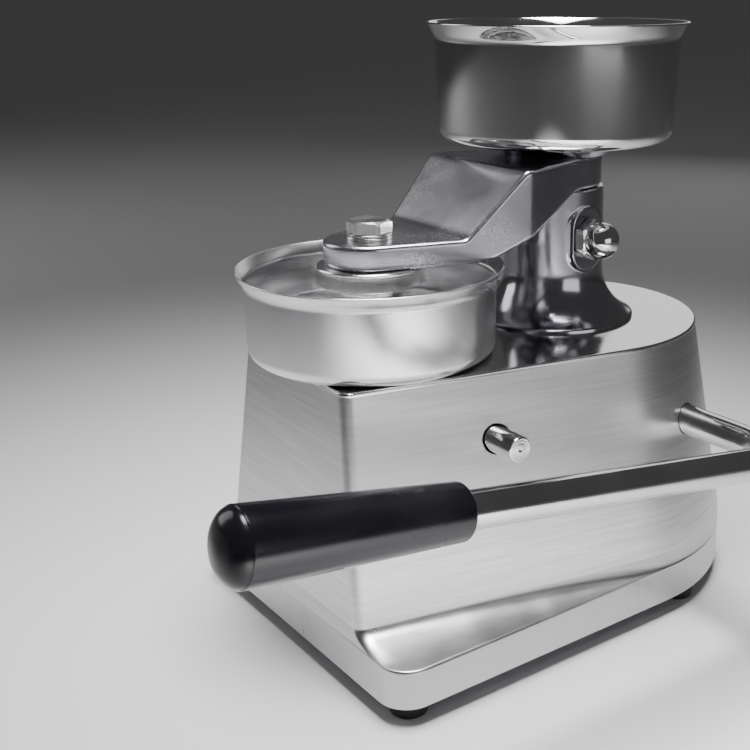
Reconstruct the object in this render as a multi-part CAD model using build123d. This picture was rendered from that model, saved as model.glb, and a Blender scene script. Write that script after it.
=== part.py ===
from build123d import *
from math import acos, atan2, cos, degrees, hypot, pi, radians, sin, sqrt, tan
import os

os.makedirs("parts", exist_ok=True)

# Manual patty press, millimetres, +Z up, the mould end at -Y, the column end at +Y, the
# lever on the +X side. Pieces are drawn about the middle of the base; save() moves them
# so that the origin is on the ground under the middle of the whole machine's box.
BOX_MIDDLE = (36.4, -56.2)

# --- base and housing -------------------------------------------------------
BASE_HALF_WIDTH = 107.0
BASE_FRONT_Y = -146.5
BASE_CORNER_R = 17.0
BASE_REAR_Y = 38.0          # centre of the round rear end
SKIRT_BOTTOM_Z = 10.0
SKIRT_TOP_Z = 31.0
FLANGE_TOP_Z = 40.0         # where the flange meets the housing wall
PLATE_UNDER_Z = 156.0
PLATE_TOP_Z = 158.0
HOUSING_CORNER_R = 7.0
HOUSING_LOW_CORNER = (64.0, -139.0)
HOUSING_TOP_CORNER = (46.0, -131.0)
HOUSING_LOW_REAR_R = 105.3
HOUSING_TOP_REAR_R = 85.0
SHEET = 1.5

# --- main axes --------------------------------------------------------------
MOLD_Y = -88.0
COLUMN_Y = 40.0
LEVER_Y, LEVER_Z = 65.0, 110.0
ROCKER_Y, ROCKER_Z = -60.0, 123.0

# --- gears ------------------------------------------------------------------
MODULE = 2.0
PINION_TEETH = 17
SECTOR_TEETH = 30
PINION_R = MODULE * PINION_TEETH / 2
SECTOR_R = MODULE * SECTOR_TEETH / 2
BACKLASH = 0.30
LEVER_SWING = 120.0

LIFT = PINION_R * radians(LEVER_SWING)
ROCKER_SWING = radians(LEVER_SWING) * PINION_R / SECTOR_R
ROCKER_TILT = ROCKER_SWING / 2
ROCKER_ARM = 29.5
FOOT_GAP = 0.9
PITCH = pi * MODULE
# the pinion has a tooth gap facing the lift shaft, so the shaft has a ring tooth there
PINION_PHASE = pi + pi / PINION_TEETH
LIFT_TEETH = 10
LIFT_START_Z = LEVER_Z - 7 * PITCH
# tooth position of the pinion at its lowest point, measured along the level rack
below = (3 * pi / 2 - PINION_PHASE) / (2 * pi / PINION_TEETH)
RACK_GAP_Y = LEVER_Y + (round(below) - below) * PITCH
RACK_START_Y = RACK_GAP_Y + PITCH / 2 - 22 * PITCH
# sector tooth that sits in the rack gap nearest under the rocker shaft
gaps = round((RACK_GAP_Y - ROCKER_Y) / PITCH)
SECTOR_PHASE = -pi / 2 + (RACK_GAP_Y - gaps * PITCH - ROCKER_Y) / SECTOR_R
SECTOR_SPAN = (-2, 8)

# --- lift shaft and column --------------------------------------------------
SHAFT_R = 10.0
SHAFT_BOTTOM_Z = 58.0
COLUMN_R = 29.3
COLUMN_FOOT_R = 48.0
COLUMN_RIM_Z = 159.6        # top of the thin rim round the foot
FLARE_TOP_Z = 188.0
COLUMN_TOP_Z = 235.7
GUIDE_Z = 208.7
BOSS_FACE_X = 30.0
BOSS_WIDTH, BOSS_HEIGHT, BOSS_Z = 23.0, 38.0, 207.75
CAP_WASHER = 1.0
CAP_HEX, CAP_HEX_LENGTH, CAP_DOME_R = 21.5, 7.5, 10.4
BUSH_R = 15.0
RUN = 0.05                  # radial clearance of a running fit
LOOSE = 0.02                # radial clearance of a fixed fit

# --- arm and top bowl -------------------------------------------------------
PAD_BOTTOM_Z, PAD_TOP_Z = 207.0, 220.4
ARM_BOTTOM_Z, ARM_TOP_Z = 236.0, 254.0
PAD_R = 24.5
BOWL_FLOOR_Z = 262.0
BOWL_SHEET = 1.2

# --- mould ------------------------------------------------------------------
MOLD_SHEET = 1.2
MOLD_RIM_Z = 205.6
PRESS_PLATE_Z = 171.5
EJECT_PLATE_Z = 159.6
BOLT_TURN = -8.4            # how far the press bolt's head is turned

# --- lever ------------------------------------------------------------------
BAR_R = 8.5
BAR_X = 164.0
BAR_TIP = (164.0, -252.0, 157.4)
GRIP_LENGTH = 108.5
GRIP_PAST_TIP = 5.5


def save(shape, name):
    """Write one named piece."""
    move = Pos(-BOX_MIDDLE[0], -BOX_MIDDLE[1], 0)
    solids = [move * solid for solid in shape.solids()]
    whole = solids[0] if len(solids) == 1 else Compound(children=solids)
    export_step(whole, "parts/" + name + ".step")


def group(shapes):
    """Identical pieces that share one name."""
    return Compound(children=list(shapes))


def rod(r, z0, z1, x=0.0, y=0.0):
    """Cylinder along +Z from z0 to z1."""
    return Pos(x, y, (z0 + z1) / 2) * Cylinder(r, z1 - z0)


def cross_rod(r, x0, x1, y, z):
    """Cylinder along +X from x0 to x1."""
    return Pos((x0 + x1) / 2, y, z) * Rot(0, 90, 0) * Cylinder(r, x1 - x0)


def block(x0, x1, y0, y1, z0, z1):
    """Box between two corners."""
    centre = Pos((x0 + x1) / 2, (y0 + y1) / 2, (z0 + z1) / 2)
    return centre * Box(x1 - x0, y1 - y0, z1 - z0)


def turned(points, y):
    """Closed (radius, height) outline turned about a vertical axis at y."""
    face = make_face(Polyline(*points, close=True))
    return Pos(0, y, 0) * revolve(Plane.XZ * face, Axis.Z)


def sheet_bowl(points, corner_r, thickness, y):
    """Sheet of even thickness along a rounded (radius, height) line, turned."""
    line = FilletPolyline(*points, radius=corner_r)
    return Pos(0, y, 0) * revolve(Plane.XZ * trace(line, thickness), Axis.Z)


def hexagon(across_flats, height):
    """Hexagonal prism standing on the XY plane with its top corners turned off."""
    body = extrude(RegularPolygon(across_flats / 2, 6, major_radius=False), height)
    across_corners = across_flats / cos(radians(30))
    cone_r = across_flats / 2 * 0.95
    rise = (across_corners / 2 - cone_r) * tan(radians(30))
    cutter = Pos(0, 0, height - rise / 2)
    cone = cutter * Cone(cone_r + rise / tan(radians(30)), cone_r, rise)
    keep = Pos(0, 0, (height - rise) / 2) * Cylinder(across_corners, height - rise)
    return body & (keep + cone)


# ---------------------------------------------------------------------------
# plan outlines: two front corner arcs and one round rear end joined by tangents
# ---------------------------------------------------------------------------
def outline(corner, corner_r, rear_y, rear_r, z):
    """Face at height z: front corners round (+-x, y) and a rear arc about (0, rear_y)."""
    cx, cy = corner
    dx, dy = cx, cy - rear_y
    side = atan2(dy, dx) + acos((rear_r - corner_r) / hypot(dx, dy))
    nx, ny = cos(side), sin(side)
    mid = (side - pi / 2) / 2
    front_l = (-cx, cy - corner_r)
    front_r = (cx, cy - corner_r)
    arc_r = (cx + corner_r * cos(mid), cy + corner_r * sin(mid))
    end_r = (cx + corner_r * nx, cy + corner_r * ny)
    back_r = (rear_r * nx, rear_y + rear_r * ny)
    back = (0, rear_y + rear_r)
    edges = [
        Line(front_l, front_r),
        ThreePointArc(front_r, arc_r, end_r),
        Line(end_r, back_r),
        ThreePointArc(back_r, back, (-back_r[0], back_r[1])),
        Line((-back_r[0], back_r[1]), (-end_r[0], end_r[1])),
        ThreePointArc((-end_r[0], end_r[1]), (-arc_r[0], arc_r[1]), front_l),
    ]
    return Pos(0, 0, z) * make_face(Wire(edges))


def housing_plan(z, inset=0.0):
    """Housing outline at height z, drafted from the flange up to the top plate."""
    t = (z - FLANGE_TOP_Z) / (PLATE_TOP_Z - FLANGE_TOP_Z)
    low, top = HOUSING_LOW_CORNER, HOUSING_TOP_CORNER
    corner = (low[0] + t * (top[0] - low[0]), low[1] + t * (top[1] - low[1]))
    rear_r = HOUSING_LOW_REAR_R + t * (HOUSING_TOP_REAR_R - HOUSING_LOW_REAR_R)
    return outline(corner, HOUSING_CORNER_R - inset, COLUMN_Y, rear_r - inset, z)


def flange_plan(s, z, inset=0.0):
    """Outline a fraction s of the way from the housing wall to the base edge."""
    low = HOUSING_LOW_CORNER
    base = (BASE_HALF_WIDTH - BASE_CORNER_R, BASE_FRONT_Y + BASE_CORNER_R)
    corner = (low[0] + s * (base[0] - low[0]), low[1] + s * (base[1] - low[1]))
    corner_r = HOUSING_CORNER_R + s * (BASE_CORNER_R - HOUSING_CORNER_R)
    rear_y = COLUMN_Y + s * (BASE_REAR_Y - COLUMN_Y)
    rear_r = HOUSING_LOW_REAR_R + s * (BASE_HALF_WIDTH - HOUSING_LOW_REAR_R)
    return outline(corner, corner_r - inset, rear_y, rear_r - inset, z)


def prism(face, height):
    """Straight solid on a plan outline."""
    return extrude(face, height, dir=(0, 0, 1))


# ---------------------------------------------------------------------------
# base pan: skirt, concave flange, inward lip for the bottom cover
# ---------------------------------------------------------------------------
def pan_solid(inset, drop):
    """Solid under the pan's upper surface, moved in and down."""
    body = prism(flange_plan(1, SKIRT_BOTTOM_Z, inset), SKIRT_TOP_Z - SKIRT_BOTTOM_Z - 2 - drop)
    levels = [(1.0, SKIRT_TOP_Z - 2), (0.985, SKIRT_TOP_Z - 0.6), (0.95, SKIRT_TOP_Z)]
    rise = FLANGE_TOP_Z - SKIRT_TOP_Z
    for s in (0.75, 0.5, 0.25, 0.1, 0.0):
        levels.append((s, SKIRT_TOP_Z + rise * (1 - s / 0.95) ** 2.2))
    faces = [flange_plan(s, z - drop, inset) for s, z in levels]
    for lower, upper in zip(faces, faces[1:]):
        body += loft([lower, upper], ruled=True)
    return body


pan_inner = pan_solid(2.0, 1.5)
pan = pan_solid(0.0, 0.0) - pan_inner
pan -= prism(housing_plan(FLANGE_TOP_Z, SHEET + 0.2), 20).moved(Pos(0, 0, -4))
lip = prism(flange_plan(1, SKIRT_BOTTOM_Z, 1.9), 2.0)
lip -= prism(flange_plan(1, SKIRT_BOTTOM_Z - 1, 16.0), 4.0)
pan += lip

FOOT_SPOTS = [(x, y) for y in (-130.0, 62.0) for x in (-91.0, 91.0)]
COVER_Z = SKIRT_BOTTOM_Z + 2.0
cover = prism(flange_plan(1, COVER_Z, 2.3), 1.5)
for x, y in FOOT_SPOTS:
    pan -= rod(2.6, 5, 20, x, y)
    cover -= rod(2.6, 5, 20, x, y)
save(pan, "base_pan")
save(cover, "bottom_cover")

foot = Cone(9.5, 11.5, SKIRT_BOTTOM_Z)
foot = Pos(0, 0, SKIRT_BOTTOM_Z / 2) * foot
foot -= rod(5.4, -1, 4.0)
foot -= rod(2.6, 3, 12)
foot = fillet(foot.edges().group_by(Axis.Z)[0].sort_by(SortBy.RADIUS)[-1], 1.0)
save(group(Pos(x, y, 0) * foot for x, y in FOOT_SPOTS), "rubber_feet")

foot_screw = rod(5.0, 1.2, 4.0) + rod(2.5, 4.0, 20.0)
foot_screw -= Pos(0, 0, 1.2) * extrude(RegularPolygon(1.7, 6), 1.4)
save(group(Pos(x, y, 0) * foot_screw for x, y in FOOT_SPOTS), "foot_screws")
foot_nut = Pos(0, 0, COVER_Z + 1.5) * hexagon(8.0, 4.0) - rod(2.5 + LOOSE, 10, 24)
save(group(Pos(x, y, 0) * foot_nut for x, y in FOOT_SPOTS), "foot_nuts")

# ---------------------------------------------------------------------------
# housing wall and top plate
# ---------------------------------------------------------------------------
outer = loft([housing_plan(FLANGE_TOP_Z), housing_plan(PLATE_UNDER_Z)], ruled=True)
inner = loft([housing_plan(FLANGE_TOP_Z - 1, SHEET), housing_plan(PLATE_UNDER_Z + 1, SHEET)],
             ruled=True)
shell = outer - inner
shell -= cross_rod(BAR_R + 0.4, 60, 120, LEVER_Y, LEVER_Z)
shell -= cross_rod(8.2, 55, 100, ROCKER_Y, ROCKER_Z)
save(shell, "housing")

COLUMN_BOLTS = PolarLocations(22.5, 4, 45)
MOLD_SPOTS = PolarLocations(36.0, 3, 90)
FRAME_SPOTS = [(x, y) for x in (-51.5, 51.5) for y in (-40.0, 60.0)]

plate = prism(housing_plan(PLATE_UNDER_Z), PLATE_TOP_Z - PLATE_UNDER_Z)
plate = fillet(plate.edges().group_by(Axis.Z)[-1], 0.8)
plate -= rod(SHAFT_R + 1.0, 150, 165, 0, COLUMN_Y)
plate -= rod(9.0 + LOOSE, 150, 165, 0, MOLD_Y)
for spot in COLUMN_BOLTS:
    plate -= Pos(0, COLUMN_Y, 157) * spot * Cylinder(3.1, 8)
for spot in MOLD_SPOTS:
    plate -= Pos(0, MOLD_Y, 157) * spot * Cylinder(2.1, 8)
save(plate, "top_plate")

# ---------------------------------------------------------------------------
# inner side plates that carry the cross shafts
# ---------------------------------------------------------------------------
def side_plate(sign):
    """Bent bearing plate on one side of the mechanism."""
    body = block(41, 46, -82, 90, 80, PLATE_UNDER_Z)
    body += block(41, 57, -60, 78, 151.5, PLATE_UNDER_Z)
    body -= cross_rod(12.0 + LOOSE, 30, 60, LEVER_Y, LEVER_Z)
    body -= cross_rod(10.0 + LOOSE, 30, 60, ROCKER_Y, ROCKER_Z)
    body -= block(30, 47, -40, 40, 104, 140)
    for x, y in FRAME_SPOTS:
        body -= rod(2.6, 140, 165, abs(x), y)
    return body if sign > 0 else mirror(body, Plane.YZ)


save(side_plate(-1), "side_plate_left")
GUIDE_YS = (-25.0, 20.0)
guide_holes = [cross_rod(2.1, 30, 60, y, 86.0) for y in GUIDE_YS]
save(side_plate(1) - guide_holes, "side_plate_right")


def flanged_bush(x0, x1, bore, outer_r, flange_r, y, z, flange_at_end):
    """Plain bush along X with a thin flange at one end."""
    body = cross_rod(outer_r, x0, x1, y, z)
    if flange_at_end:
        body += cross_rod(flange_r, x1, x1 + 1.5, y, z)
    else:
        body += cross_rod(flange_r, x0 - 1.5, x0, y, z)
    return body - cross_rod(bore, x0 - 5, x1 + 5, y, z)


lever_bushes = [
    flanged_bush(41, 47, BAR_R + RUN, 12.0, 15.0, LEVER_Y, LEVER_Z, False),
    flanged_bush(-47, -41, BAR_R + RUN, 12.0, 15.0, LEVER_Y, LEVER_Z, True),
]
save(group(lever_bushes), "lever_bushes")
rocker_bushes = [
    flanged_bush(41, 47, 7.0 + RUN, 10.0, 12.5, ROCKER_Y, ROCKER_Z, False),
    flanged_bush(-47, -41, 7.0 + RUN, 10.0, 12.5, ROCKER_Y, ROCKER_Z, True),
]
save(group(rocker_bushes), "rocker_bushes")


def nut_under(across_flats, height, hole_r, x, y, z_top):
    """Hexagon nut drawn up against a face above it."""
    body = Pos(x, y, z_top) * Rot(180, 0, 0) * hexagon(across_flats, height)
    return body - rod(hole_r + LOOSE, z_top - height - 2, z_top + 2, x, y)


save(group(rod(2.5, 145.0, PLATE_UNDER_Z, x, y) for x, y in FRAME_SPOTS), "frame_studs")
save(group(nut_under(8.0, 4.0, 2.5, x, y, 151.5) for x, y in FRAME_SPOTS), "frame_nuts")

# ---------------------------------------------------------------------------
# mould bowl, its studs, the ejector bush
# ---------------------------------------------------------------------------
floor_mid = PLATE_TOP_Z + MOLD_SHEET / 2
mold_line = [(9.1, floor_mid), (65.7, floor_mid), (66.2, 199.0), (70.6, MOLD_RIM_Z - 0.4)]
mold = sheet_bowl(mold_line, 7.0, MOLD_SHEET, MOLD_Y)
save(mold, "mold_bowl")

mold_studs = []
mold_nuts = []
for spot in MOLD_SPOTS:
    at = Pos(0, MOLD_Y, 0) * spot
    mold_studs.append(at * rod(2.0, 148.0, PLATE_TOP_Z))
    mold_nuts.append(at * nut_under(7.0, 3.2, 2.0, 0, 0, PLATE_UNDER_Z))
save(group(mold_studs), "mold_studs")
save(group(mold_nuts), "mold_nuts")

ejector_bush = rod(8.5, PLATE_UNDER_Z - 4.0, 159.0, 0, MOLD_Y)
ejector_bush += rod(14.0, PLATE_UNDER_Z - 4.0, PLATE_UNDER_Z, 0, MOLD_Y)
ejector_bush -= rod(5.0 + RUN, 140, 170, 0, MOLD_Y)
save(ejector_bush, "ejector_bush")

# ---------------------------------------------------------------------------
# column with flared foot, side boss and bore
# ---------------------------------------------------------------------------
rim_r = COLUMN_FOOT_R - 0.8
flare_start = (rim_r, COLUMN_RIM_Z + 0.6)
column_lines = [
    Line((BUSH_R + LOOSE, PLATE_TOP_Z), (COLUMN_FOOT_R, PLATE_TOP_Z)),
    Line((COLUMN_FOOT_R, PLATE_TOP_Z), (COLUMN_FOOT_R, COLUMN_RIM_Z)),
    Line((COLUMN_FOOT_R, COLUMN_RIM_Z), flare_start),
    ThreePointArc(flare_start, (35.2, 170.0), (COLUMN_R, FLARE_TOP_Z)),
    Line((COLUMN_R, FLARE_TOP_Z), (COLUMN_R - 0.5, COLUMN_TOP_Z - 0.8)),
    Line((COLUMN_R - 0.5, COLUMN_TOP_Z - 0.8), (COLUMN_R - 1.3, COLUMN_TOP_Z)),
    Line((COLUMN_R - 1.3, COLUMN_TOP_Z), (BUSH_R + LOOSE, COLUMN_TOP_Z)),
    Line((BUSH_R + LOOSE, COLUMN_TOP_Z), (BUSH_R + LOOSE, PLATE_TOP_Z)),
]
column = revolve(Plane.XZ * make_face(Wire(column_lines)), Axis.Z)
boss_face = Plane.YZ * (SlotOverall(BOSS_HEIGHT, BOSS_WIDTH, rotation=90))
boss = Pos(18.0, 0, BOSS_Z) * extrude(boss_face, BOSS_FACE_X - 18.0, dir=(1, 0, 0))
boss = fillet(boss.edges().group_by(Axis.X)[-1], 1.0)
column += boss
column -= rod(BUSH_R + LOOSE, 150, 240)
column -= cross_rod(5.0 + LOOSE, 10, 40, 0, GUIDE_Z)
for spot in COLUMN_BOLTS:
    column -= Pos(0, 0, 164) * spot * Cylinder(3.0 + LOOSE, 18)
column = Pos(0, COLUMN_Y, 0) * column
save(column, "column")

column_bolts = []
for spot in COLUMN_BOLTS:
    at = Pos(0, COLUMN_Y, 0) * spot
    bolt = rod(3.0, PLATE_UNDER_Z, 172.0)
    bolt += Pos(0, 0, PLATE_UNDER_Z) * Rot(180, 0, 0) * hexagon(10.0, 4.0)
    column_bolts.append(at * bolt)
save(group(column_bolts), "column_bolts")


def column_bush(z0, z1):
    """Plain bush pressed into the column bore."""
    body = rod(BUSH_R, z0, z1, 0, COLUMN_Y)
    return body - rod(SHAFT_R + RUN, z0 - 5, z1 + 5, 0, COLUMN_Y)


save(column_bush(159.0, 183.0), "column_bush_lower")
save(column_bush(214.5, 235.2), "column_bush_upper")

nut_x = BOSS_FACE_X + CAP_WASHER
guide_screw = cross_rod(5.0, 12.5, nut_x + 8.0, COLUMN_Y, GUIDE_Z)
guide_screw += cross_rod(3.0, 7.5, 13.0, COLUMN_Y, GUIDE_Z)
save(guide_screw, "guide_screw")
guide_washer = cross_rod(9.5, BOSS_FACE_X, nut_x, COLUMN_Y, GUIDE_Z)
guide_washer -= cross_rod(5.0 + LOOSE, 25, 40, COLUMN_Y, GUIDE_Z)
save(guide_washer, "cap_nut_washer")
dome_x = CAP_HEX_LENGTH + 2.5
cap_nut = Rot(0, 90, 0) * hexagon(CAP_HEX, CAP_HEX_LENGTH)
cap_nut += cross_rod(CAP_DOME_R, CAP_HEX_LENGTH - 0.5, dome_x, 0, 0)
cap_nut += Pos(dome_x, 0, 0) * Rot(0, 90, 0) * (Sphere(CAP_DOME_R) & rod(12.0, 0, 12.0))
cap_nut -= cross_rod(5.0 + LOOSE, -3, 8.2, 0, 0)
save(Pos(nut_x, COLUMN_Y, GUIDE_Z) * cap_nut, "cap_nut")


# ---------------------------------------------------------------------------
# gear teeth
# ---------------------------------------------------------------------------
def flank(pitch_r, teeth):
    """Radii and half-angles of one involute tooth flank from its foot to its tip."""
    base_r = pitch_r * cos(radians(20))
    half = pi / (2 * teeth) - BACKLASH / 2 / pitch_r
    at_pitch = tan(radians(20)) - radians(20)
    points = [(pitch_r - 1.25 * MODULE, half + at_pitch)]
    start = max(base_r, pitch_r - MODULE)
    for k in range(6):
        r = start + (pitch_r + MODULE - start) * k / 5
        roll = acos(min(1.0, base_r / r))
        points.append((r, half + at_pitch - (tan(roll) - roll)))
    return points


def gear_face(teeth, phase, first=0, last=None):
    """Toothed outline in a plane; phase is the angle of the middle of tooth 0."""
    pitch_r = MODULE * teeth / 2
    side = flank(pitch_r, teeth)
    last = teeth - 1 if last is None else last
    points = []
    for k in range(first, last + 1):
        mid = phase + 2 * pi * k / teeth
        tooth = [(r, mid - a) for r, a in side] + [(r, mid + a) for r, a in reversed(side)]
        points += [(r * cos(a), r * sin(a)) for r, a in tooth]
    if last - first < teeth - 1:
        points.append((0.0, 0.0))
    return make_face(Polyline(*points, close=True))


def along_x(face, x0, x1, y, z):
    """Extrude a face drawn in (Y, Z) along X."""
    return Pos(x0, y, z) * extrude(Plane.YZ * face, x1 - x0, dir=(1, 0, 0))


RACK_TOP_Z = LEVER_Z - PINION_R     # pitch line of the level rack
RACK_X = (14.0, 24.0)
pinion = along_x(gear_face(PINION_TEETH, PINION_PHASE), -8, RACK_X[1] + 1, LEVER_Y, LEVER_Z)
pinion += cross_rod(14.0, -20, -8, LEVER_Y, LEVER_Z)
pinion -= cross_rod(BAR_R + LOOSE, -30, 40, LEVER_Y, LEVER_Z)
pinion -= rod(2.5 + LOOSE, 80, 140, -14, LEVER_Y)
save(pinion, "pinion")
save(rod(2.5, 97.0, 123.0, -14, LEVER_Y), "pinion_pin")

first_tooth, last_tooth = SECTOR_SPAN
sector = along_x(gear_face(SECTOR_TEETH, SECTOR_PHASE, first_tooth, last_tooth), *RACK_X,
                 ROCKER_Y, ROCKER_Z)
sector -= cross_rod(12.0, 0, 40, ROCKER_Y, ROCKER_Z)
rocker_hub = cross_rod(12.2, 8, 34, ROCKER_Y, ROCKER_Z)
rocker_hub -= cross_rod(7.0 + LOOSE, 0, 40, ROCKER_Y, ROCKER_Z)
rocker_hub -= rod(2.0 + LOOSE, 100, 140, 29, ROCKER_Y)
ROLLER_Y = ROCKER_Y - ROCKER_ARM * cos(ROCKER_TILT)
ROLLER_Z = ROCKER_Z - ROCKER_ARM * sin(ROCKER_TILT)
arm_bar = block(8, 13, -ROCKER_ARM, -10, -6, 6)
arm_bar += cross_rod(6.0, 8, 13, -ROCKER_ARM, 0)
arm_bar = Pos(0, ROCKER_Y, ROCKER_Z) * Rot(degrees(ROCKER_TILT), 0, 0) * arm_bar
rocker = sector + rocker_hub + arm_bar
rocker -= cross_rod(7.0 + LOOSE, 0, 40, ROCKER_Y, ROCKER_Z)
rocker -= cross_rod(2.5 + LOOSE, 0, 20, ROLLER_Y, ROLLER_Z)
save(rocker, "ejector_rocker")
save(rod(2.0, 112.0, 134.0, 29, ROCKER_Y), "rocker_pin")
save(cross_rod(2.5, -7.0, 13.0, ROLLER_Y, ROLLER_Z), "roller_pin")
roller = cross_rod(6.0, -5.0, 7.5, ROLLER_Y, ROLLER_Z)
save(roller - cross_rod(2.5 + RUN, -10, 20, ROLLER_Y, ROLLER_Z), "roller")


def split_ring(x0, x1, inner_r, outer_r, y, z):
    """Spring ring with a gap, seated in a shaft groove along X."""
    body = cross_rod(outer_r, x0, x1, y, z) - cross_rod(inner_r, x0 - 1, x1 + 1, y, z)
    return body - block(x0 - 1, x1 + 1, y - 2, y + 2, z, z + outer_r + 2)


ROCKER_END_X = 92.5
rocker_shaft = cross_rod(7.0, -51.5, ROCKER_END_X, ROCKER_Y, ROCKER_Z)
end_edge = rocker_shaft.edges().group_by(Axis.X)[-1]
rocker_shaft = chamfer(end_edge, 0.8)
rocker_shaft -= rod(2.0 + LOOSE, 100, 140, 29, ROCKER_Y)
rocker_shaft -= Pos(ROCKER_END_X, ROCKER_Y, ROCKER_Z) * Rot(0, -90, 0) * Cone(2.0, 0.2, 3.0)
for x0 in (-50.2, 48.8):
    groove = cross_rod(8.0, x0, x0 + 1.2, ROCKER_Y, ROCKER_Z)
    rocker_shaft -= groove - cross_rod(6.2, x0 - 1, x0 + 3, ROCKER_Y, ROCKER_Z)
save(rocker_shaft, "rocker_shaft")
rocker_rings = [split_ring(x0 + 0.1, x0 + 1.1, 6.25, 9.5, ROCKER_Y, ROCKER_Z)
                for x0 in (-50.2, 48.8)]
save(group(rocker_rings), "rocker_rings")

# ---------------------------------------------------------------------------
# level rack and its guides
# ---------------------------------------------------------------------------
def rack_points(count, start, pitch_line, up):
    """Rack teeth from a start position, as (along, height) points."""
    pitch = pi * MODULE
    half = pitch / 4 - BACKLASH / 4
    slope = tan(radians(20))
    points = []
    for k in range(count):
        mid = start + k * pitch
        foot, tip = half + 1.25 * MODULE * slope, half - MODULE * slope
        low, high = pitch_line - up * 1.25 * MODULE, pitch_line + up * MODULE
        points += [(mid - foot, low), (mid - tip, high), (mid + tip, high), (mid + foot, low)]
    return points


rack_teeth = rack_points(30, RACK_START_Y, RACK_TOP_Z, 1)
rack_y0, rack_y1 = rack_teeth[0][0] - 2, rack_teeth[-1][0] + 2
rack_outline = [(rack_y0, 81.0), (rack_y0, rack_teeth[0][1])] + rack_teeth
rack_outline += [(rack_y1, rack_teeth[0][1]), (rack_y1, 81.0)]
rack_face = make_face(Polyline(*rack_outline, close=True))
rack_bar = along_x(rack_face, *RACK_X, 0, 0)
save(rack_bar, "ejector_rack")


def rack_guide(y):
    """Slotted guide block hung from the right side plate."""
    body = block(11, 41, y - 6, y + 6, 76, 96)
    body -= block(RACK_X[0] - 0.1, RACK_X[1] + 0.1, y - 10, y + 10, 80.9, 100)
    body -= block(28, 50, y - 10, y + 10, 91, 100)
    return body - cross_rod(2.0 + LOOSE, 30, 50, y, 86.0)


save(group(rack_guide(y) for y in GUIDE_YS), "rack_guides")
guide_bolts = []
for y in GUIDE_YS:
    bolt = cross_rod(2.0, 32, 46, y, 86.0)
    bolt += Pos(46, y, 86) * Rot(0, 90, 0) * hexagon(7.0, 2.8)
    guide_bolts.append(bolt)
save(group(guide_bolts), "guide_bolts")

# ---------------------------------------------------------------------------
# ejector: plate, rod, foot, screw
# ---------------------------------------------------------------------------
EJECT_TOP_Z = EJECT_PLATE_Z + 3.0
FOOT_Z = ROLLER_Z + 6.0 + FOOT_GAP
ejector_plate = turned([
    (0, EJECT_PLATE_Z), (59.8, EJECT_PLATE_Z), (62.4, EJECT_PLATE_Z + 2.3),
    (62.4, EJECT_TOP_Z - 0.3), (62.1, EJECT_TOP_Z), (0, EJECT_TOP_Z),
], MOLD_Y)
screw_seat = Pos(0, MOLD_Y, EJECT_TOP_Z - 1.25) * Cone(2.55, 5.05, 2.5)
ejector_plate -= screw_seat + rod(2.5 + LOOSE, 150, 170, 0, MOLD_Y)
save(ejector_plate, "ejector_plate")
ejector_screw = Pos(0, MOLD_Y, EJECT_TOP_Z - 1.3) * Cone(2.45, 4.95, 2.4)
ejector_screw += rod(2.5, 148, EJECT_TOP_Z - 1.5, 0, MOLD_Y)
ejector_screw -= Pos(0, MOLD_Y, EJECT_TOP_Z - 1.6) * extrude(RegularPolygon(1.6, 6), 4)
save(ejector_screw, "ejector_screw")
ejector_rod = rod(5.0, FOOT_Z + 3.0, EJECT_PLATE_Z, 0, MOLD_Y)
ejector_rod += rod(3.0, FOOT_Z + 0.4, FOOT_Z + 4.0, 0, MOLD_Y)
ejector_rod -= rod(2.5 + LOOSE, 147, 170, 0, MOLD_Y)
save(ejector_rod, "ejector_rod")
ejector_foot = rod(7.0, FOOT_Z, FOOT_Z + 3.0, 0, MOLD_Y)
save(ejector_foot - rod(3.0 + LOOSE, FOOT_Z - 1, FOOT_Z + 5, 0, MOLD_Y), "ejector_foot")

# ---------------------------------------------------------------------------
# lift shaft: ring teeth below, guide slot above, spigot for the arm
# ---------------------------------------------------------------------------
ring_teeth = rack_points(LIFT_TEETH, LIFT_START_Z, SHAFT_R - MODULE, 1)
shaft_line = [(0, SHAFT_BOTTOM_Z), (6.5, SHAFT_BOTTOM_Z), (7.5, SHAFT_BOTTOM_Z + 1)]
shaft_line += [(7.5, ring_teeth[0][0])]
shaft_line += [(r, z) for z, r in ring_teeth]
shaft_line += [(SHAFT_R, ring_teeth[-1][0]), (SHAFT_R, ARM_BOTTOM_Z)]
shaft_line += [(8.0, ARM_BOTTOM_Z), (8.0, ARM_TOP_Z), (0, ARM_TOP_Z)]
lift_shaft = turned(shaft_line, 0)
SLOT_TOP = GUIDE_Z + 3.3
SLOT_LOW = GUIDE_Z - LIFT - 3.3
lift_shaft -= block(7.2, 12, -3.15, 3.15, SLOT_LOW, SLOT_TOP)
ring_groove = rod(12.0, SLOT_LOW, SLOT_LOW + 6.6) - rod(7.2, SLOT_LOW - 1, SLOT_LOW + 8)
lift_shaft -= ring_groove
lift_shaft -= rod(4.0 + LOOSE, 232.0, 260.0)
save(Pos(0, COLUMN_Y, 0) * lift_shaft, "lift_shaft")

# ---------------------------------------------------------------------------
# arm: side profile cut by the plan shape
# ---------------------------------------------------------------------------
SIDE_PROFILE = [
    (-120, PAD_BOTTOM_Z), (-38, PAD_BOTTOM_Z), (28, ARM_BOTTOM_Z), (80, ARM_BOTTOM_Z),
    (80, ARM_TOP_Z), (-17, ARM_TOP_Z), (-51, PAD_TOP_Z), (-120, PAD_TOP_Z),
]
arm_side = along_x(make_face(Polyline(*SIDE_PROFILE, close=True)), -60, 60, 0, 0)
PAD_END = (23.4, -95.3)     # where the side leaves the round pad
NECK = (37.0, -52.0)
SHOULDER = (45.0, -18.5)
SHOULDER_MID = (45.1, -12.8)
WAIST = (43.0, -8.0)
HUB_SIDE = (COLUMN_R, COLUMN_Y - 3)


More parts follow.
